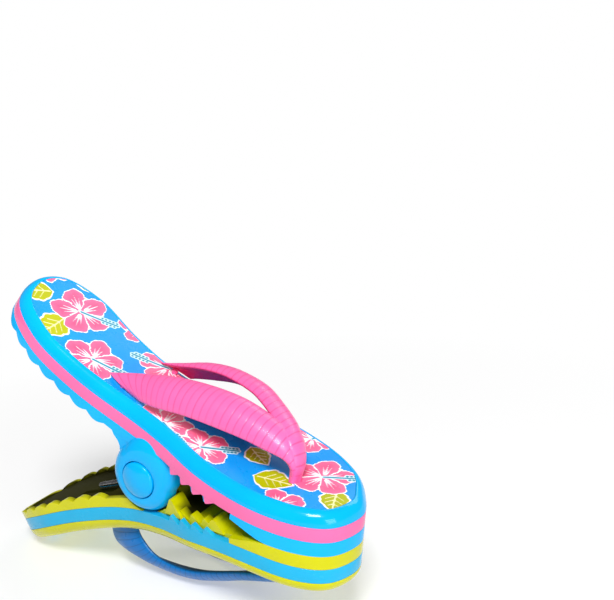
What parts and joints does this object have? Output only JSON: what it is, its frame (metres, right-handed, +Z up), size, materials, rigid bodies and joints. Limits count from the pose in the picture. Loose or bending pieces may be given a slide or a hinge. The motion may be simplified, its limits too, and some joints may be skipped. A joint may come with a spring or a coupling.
{
  "type": "towel clip",
  "caption": "Sprung towel clip shaped like a pair of flip-flops, sole to sole: toothed jaw at the toes, finger handles at the heels, and a Y-shaped strap on each half.",
  "frame": {"origin": "centre of the bounding box, on the surface that the lower heel and the lower strap stand on", "axes": "+X towards the toes and the mouth of the jaw, +Y across the soles away from the big-toe side, parallel to the hinge pin, +Z up"},
  "size_m": [0.1324, 0.0412, 0.0886],
  "materials": {
    "upper_body_shell": "gloss",
    "upper_stripe": "gloss",
    "upper_rim": "gloss",
    "upper_print": "printed, satin",
    "upper_strap_band": "finely ribbed, satin",
    "lower_body_shell": "gloss",
    "lower_stripe": "gloss",
    "lower_rim": "gloss",
    "lower_print": "printed, satin",
    "lower_strap_band": "finely ribbed, satin",
    "pin_steel": "plain",
    "retainer_steel": "plain",
    "button_cap": "gloss",
    "sleeve_plastic": "plain",
    "spring_steel": "plain"
  },
  "bodies": {
    "lower_half": {"lower_body": "lower_body_shell", "lower_midsole": "lower_stripe", "lower_footbed": "lower_rim", "lower_insole": "lower_print", "lower_strap": "lower_strap_band", "spring_sleeve": "sleeve_plastic", "torsion_spring": "spring_steel"},
    "upper_half": {"upper_body": "upper_body_shell", "upper_midsole": "upper_stripe", "upper_footbed": "upper_rim", "upper_insole": "upper_print", "upper_strap": "upper_strap_band", "hinge_pin": "pin_steel", "near_pin_retainer": "retainer_steel", "far_pin_retainer": "retainer_steel", "near_button": "button_cap", "far_button": "button_cap"}
  },
  "joints": [
    {"name": "jaw_hinge", "type": "hinge", "parent": "lower_half", "child": "upper_half", "pos_m": [-0.00079, 0.00105, 0.03546], "axis": [0, -1, 0], "range_deg": [0, 35], "stiffness_Nm_per_rad": 0.5, "springref_deg": -60.16, "deforming": ["torsion_spring"]}
  ]
}
